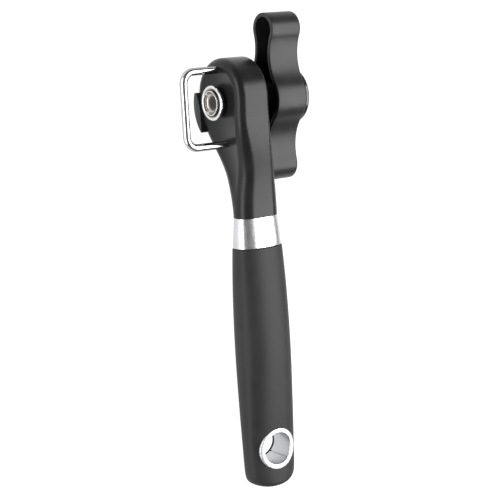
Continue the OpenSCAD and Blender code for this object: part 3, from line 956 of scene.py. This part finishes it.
finish_piece(make_head(), "body", "head_shell")
finish_piece(make_collar(), "body", "collar")
finish_piece(make_grip(), "body", "grip_sleeve")
finish_piece(make_lining("lining_upper", 1), "body", "hole_insert_upper")
finish_piece(make_lining("lining_lower", -1), "body", "hole_insert_lower")
finish_piece(make_loop(), "body", "wire_loop")
finish_piece(make_guide(), "body", "rim_guide")
finish_piece(make_gear(), "drive", "drive_gear")
finish_piece(make_cup(), "drive", "axle_cup")
finish_piece(make_disc(), "disc", "cutter_disc")
finish_piece(make_knob(), "drive", "knob_shell")
finish_piece(make_hub(), "drive", "knob_shell")
finish_piece(make_knob_ribs(), "drive", "knob_shell")
finish_piece(make_cap(), "drive", "knob_cap")

for name, obj in frame["nodes"].items():
    obj.data.materials.clear()
    obj.data.materials.append(MATERIALS[SLOTS[name]])


# ---------------------------------------------------------------- floor, light and camera

FLOOR_Z = -HEAD_R * MM
FLOOR_HALF = 3.0
FLOOR_TONE = 0.12
FLOOR_NEAR = 1.0       # the floor's own glow under the tool
FLOOR_FRONT = 1.35     # and in front of the working face
GLOW_FROM = -0.13      # where along Y the glow changes
GLOW_TO = -0.06
LIGHT_TARGET = (-0.08, 0, 0)
LIGHT_SHIFT = -0.02
# Name, azimuth, distance, size and radiance of each soft box
LIGHTS = [("front_box", 12, 0.55, (0.9, 0.24), 5.4),
          ("side_box", 125, 0.6, (0.74, 0.5), 7.3)]
WORLD_STRENGTH = 0.21
CAMERA_PLACE = Vector((-0.19414, -0.34673, 0.48129))
CAMERA_RIGHT = Vector((0.05649, 0.80752, 0.58713))
CAMERA_UP = Vector((-0.98333, 0.14679, -0.10729))
CAMERA_LENS = 98.06


def make_floor():
    """A plain white floor that glows of itself, more strongly a little way off in front of the working
    face, where the extra glow is a painted pool of light.
    """
    corners = [(x * FLOOR_HALF, y * FLOOR_HALF, FLOOR_Z) for x, y in ((-1, -1), (1, -1), (1, 1), (-1, 1))]
    floor = make_object("floor", corners, [(0, 1, 2, 3)])
    m = Nodes("pale_floor")
    m.shader.inputs["Base Color"].default_value = (FLOOR_TONE, FLOOR_TONE, FLOOR_TONE, 1)
    m.shader.inputs["Roughness"].default_value = 0.9
    m.shader.inputs["Emission Color"].default_value = (1, 1, 1, 1)
    axes = m.node("ShaderNodeSeparateXYZ")
    m.link(m.coords, axes.inputs["Vector"])
    # Painted pool of light: the floor's glow rises from FLOOR_NEAR to FLOOR_FRONT in front of the working
    # face.
    m.link(m.ramp(axes.outputs["Y"], FLOOR_FRONT, FLOOR_NEAR, GLOW_FROM, GLOW_TO),
           m.shader.inputs["Emission Strength"])
    floor.data.materials.append(m.material)


def softbox(name, azimuth, height, distance, size, radiance, target):
    """An area light round the tool. azimuth 0 is the working face's side and 90 is overhead."""
    light = bpy.data.lights.new(name, "AREA")
    light.shape = "RECTANGLE"
    light.size, light.size_y = size
    light.energy = radiance * math.pi * size[0] * size[1]
    obj = bpy.data.objects.new(name, light)
    bpy.context.collection.objects.link(obj)
    out = Vector((0, -cosd(azimuth), sind(azimuth)))
    spot = Vector(target) + out * distance + Vector((height, 0, 0))
    back = (spot - Vector(target)).normalized()
    right = Vector((1, 0, 0))
    up = back.cross(right).normalized()
    right = up.cross(back).normalized()
    basis = Matrix((right, up, back)).transposed().to_4x4()
    obj.matrix_world = Matrix.Translation(spot) @ basis


def make_lights():
    for name, azimuth, distance, size, radiance in LIGHTS:
        softbox(name, azimuth, LIGHT_SHIFT, distance, size, radiance, LIGHT_TARGET)
    world = bpy.data.worlds.new("studio")
    world.use_nodes = True
    world.node_tree.nodes["Background"].inputs["Color"].default_value = (1, 1, 1, 1)
    world.node_tree.nodes["Background"].inputs["Strength"].default_value = WORLD_STRENGTH
    bpy.context.scene.world = world


def make_camera():
    data = bpy.data.cameras.new("camera")
    data.lens = CAMERA_LENS
    data.sensor_width = 36
    data.clip_start = 0.01
    data.clip_end = 20
    obj = bpy.data.objects.new("camera", data)
    bpy.context.collection.objects.link(obj)
    back = CAMERA_RIGHT.cross(CAMERA_UP)
    basis = Matrix((CAMERA_RIGHT, CAMERA_UP, back)).transposed().to_4x4()
    obj.matrix_world = Matrix.Translation(CAMERA_PLACE) @ basis
    bpy.context.scene.camera = obj


make_floor()
make_lights()
make_camera()
bpy.context.scene.view_settings.view_transform = "Standard"
